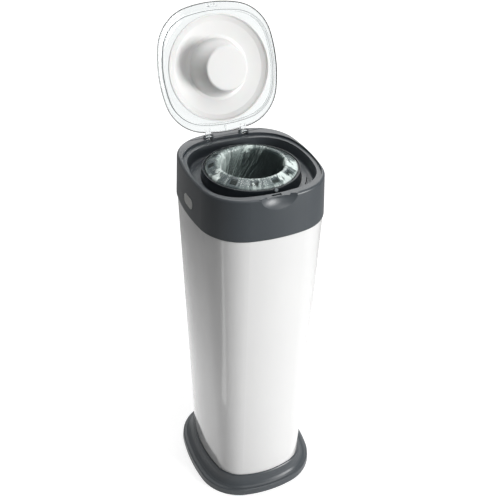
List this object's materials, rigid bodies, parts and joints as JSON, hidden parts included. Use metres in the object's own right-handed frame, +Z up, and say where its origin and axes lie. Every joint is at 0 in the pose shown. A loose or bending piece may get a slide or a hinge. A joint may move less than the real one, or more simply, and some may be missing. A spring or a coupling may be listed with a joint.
{
  "type": "nappy bin",
  "caption": "Tall tapered bin on a flared foot, with a tilting collar that holds a twistable film cassette under a clear hinged lid with a plunger.",
  "frame": {"origin": "middle of the base plate's underside, on the floor", "axes": "+Z up, -Y the front with the finger scoop, +Y the side of both hinges, X across the width"},
  "size_m": [0.242, 0.3182, 0.8923],
  "materials": {
    "slate_plastic": "fine moulded texture",
    "gloss_white": "polished moulding",
    "dark_plastic": "fine moulded texture",
    "satin_white": "satin moulding",
    "clear_plastic": "clear polished moulding",
    "cassette_grey": "satin moulding",
    "film": "thin cloudy film",
    "grey_plastic": "plain inner moulding",
    "steel": "zinc plated",
    "dark_rubber": "soft matte"
  },
  "bodies": {
    "bin": {"foot_plinth": "slate_plastic", "base_plate": "grey_plastic", "base_screws": "steel", "rubber_pads": "dark_rubber", "body_shell": "gloss_white", "body_rim": "slate_plastic", "head_hinge_pin": "steel"},
    "head": {"collar": "slate_plastic", "recess_tray": "slate_plastic", "lid_catch": "grey_plastic", "lid_hinge_pins": "steel", "well_housing": "grey_plastic", "well_screws": "steel", "click_pawl": "satin_white", "grip_fingers": "grey_plastic", "cutter_guard": "satin_white", "cutter_blade": "steel"},
    "turntable": {"twist_ring": "dark_plastic", "index_pip": "satin_white", "cassette_carrier": "dark_plastic"},
    "cassette": {"cassette_tub": "cassette_grey", "cassette_core": "cassette_grey", "cassette_cap": "cassette_grey", "film_pack": "film", "film_sleeve": "film", "film_bag": "film"},
    "lid": {"lid_shell": "clear_plastic", "lid_seal": "dark_rubber", "plunger": "satin_white"},
    "latch_left": {"latch_button_left": "satin_white", "latch_spring_left": "steel"},
    "latch_right": {"latch_button_right": "satin_white", "latch_spring_right": "steel"}
  },
  "joints": [
    {"name": "head_tilt", "type": "hinge", "parent": "bin", "child": "head", "pos_m": [0, 0.1294, 0.5996], "axis": [-1, 0, 0], "range_deg": [0, 78]},
    {"name": "lid_hinge", "type": "hinge", "parent": "head", "child": "lid", "pos_m": [0, 0.10785, 0.6761], "axis": [1, 0, 0], "range_deg": [0, 109.3]},
    {"name": "ring_twist", "type": "hinge", "parent": "head", "child": "turntable", "pos_m": [0, -0.0083, 0.65], "axis": [0, 0, 1], "continuous": true},
    {"name": "cassette_lift", "type": "slide", "parent": "turntable", "child": "cassette", "axis": [0, 0, -1], "range_m": [-0.12, 0]},
    {"name": "latch_left_press", "type": "slide", "parent": "head", "child": "latch_left", "axis": [1, 0, 0], "range_m": [0, 0.003], "stiffness_N_per_m": 600, "springref_m": -0.004, "deforming": ["latch_spring_left"]},
    {"name": "latch_right_press", "type": "slide", "parent": "head", "child": "latch_right", "axis": [-1, 0, 0], "range_m": [0, 0.003], "stiffness_N_per_m": 600, "springref_m": -0.004, "deforming": ["latch_spring_right"]}
  ]
}
